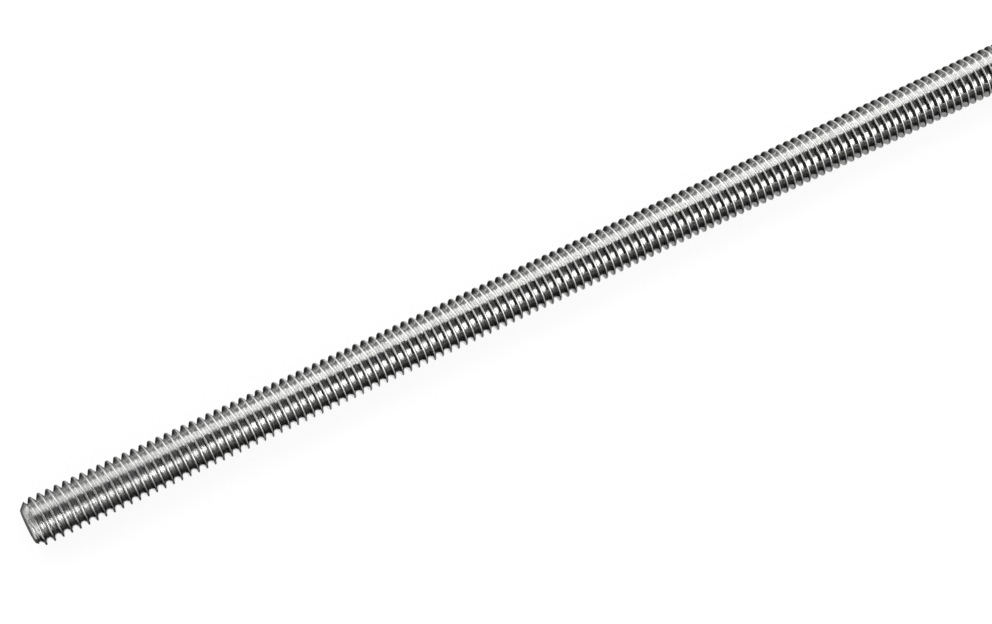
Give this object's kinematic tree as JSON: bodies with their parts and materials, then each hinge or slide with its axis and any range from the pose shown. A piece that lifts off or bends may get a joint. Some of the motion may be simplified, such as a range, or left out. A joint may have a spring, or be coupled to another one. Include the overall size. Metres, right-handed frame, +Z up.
{
  "type": "threaded rod",
  "caption": "Straight steel rod with a right-hand screw thread along its whole length and chamfered ends, for joining and hanging parts with nuts.",
  "frame": {"origin": "on the rod's axis, halfway between its two cut ends", "axes": "+X along the rod's axis, +Z up as the rod lies"},
  "size_m": [0.3048, 0.0078, 0.0078],
  "materials": {
    "bright_steel": "bright rolled, zinc plated"
  },
  "bodies": {
    "root": {"rod": "bright_steel"}
  },
  "joints": []
}
